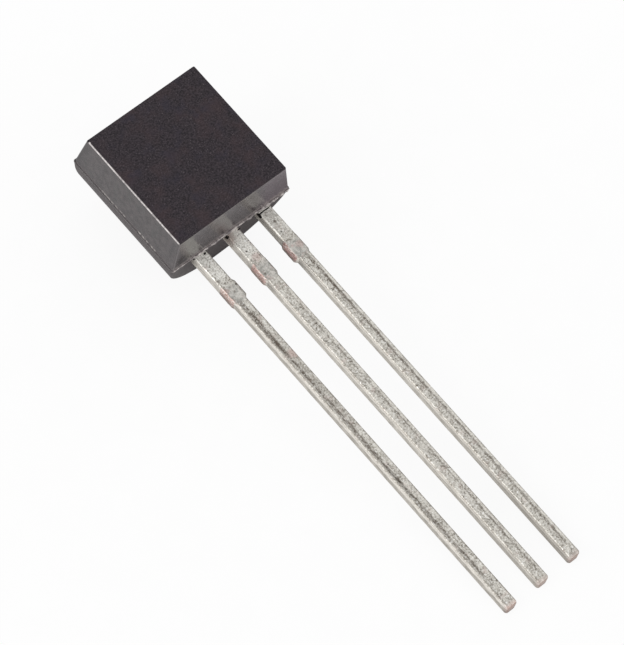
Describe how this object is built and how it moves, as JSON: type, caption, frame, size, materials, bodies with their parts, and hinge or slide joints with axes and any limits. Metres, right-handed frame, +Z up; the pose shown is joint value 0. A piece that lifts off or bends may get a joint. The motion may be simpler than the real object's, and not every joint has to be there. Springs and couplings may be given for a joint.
{
  "type": "to-92 transistor",
  "caption": "Small-signal transistor in a black moulded case with a flat front and a round back, on straight tinned leads in one row.",
  "frame": {"origin": "on the table, under the middle of the part's length and width, with the part lying at rest", "axes": "+Z up, out of the flat face but for a tilt of about 7.5 degrees; leads point along -Y; +X across the row from the emitter to the collector"},
  "size_m": [0.0046, 0.019, 0.0043],
  "materials": {
    "moulding": "fine matt black epoxy with glass filler",
    "tinned_lead": "dull tin plate on copper alloy, bare copper at the sheared stubs",
    "silicon": "polished silicon",
    "die_glue": "silver-filled epoxy",
    "gold": "bright drawn gold wire"
  },
  "bodies": {
    "root": {"epoxy_body": "moulding", "emitter_lead": "tinned_lead", "base_lead": "tinned_lead", "collector_lead": "tinned_lead", "silicon_die": "silicon", "die_bond": "die_glue", "emitter_wire": "gold", "base_wire": "gold"}
  },
  "joints": []
}
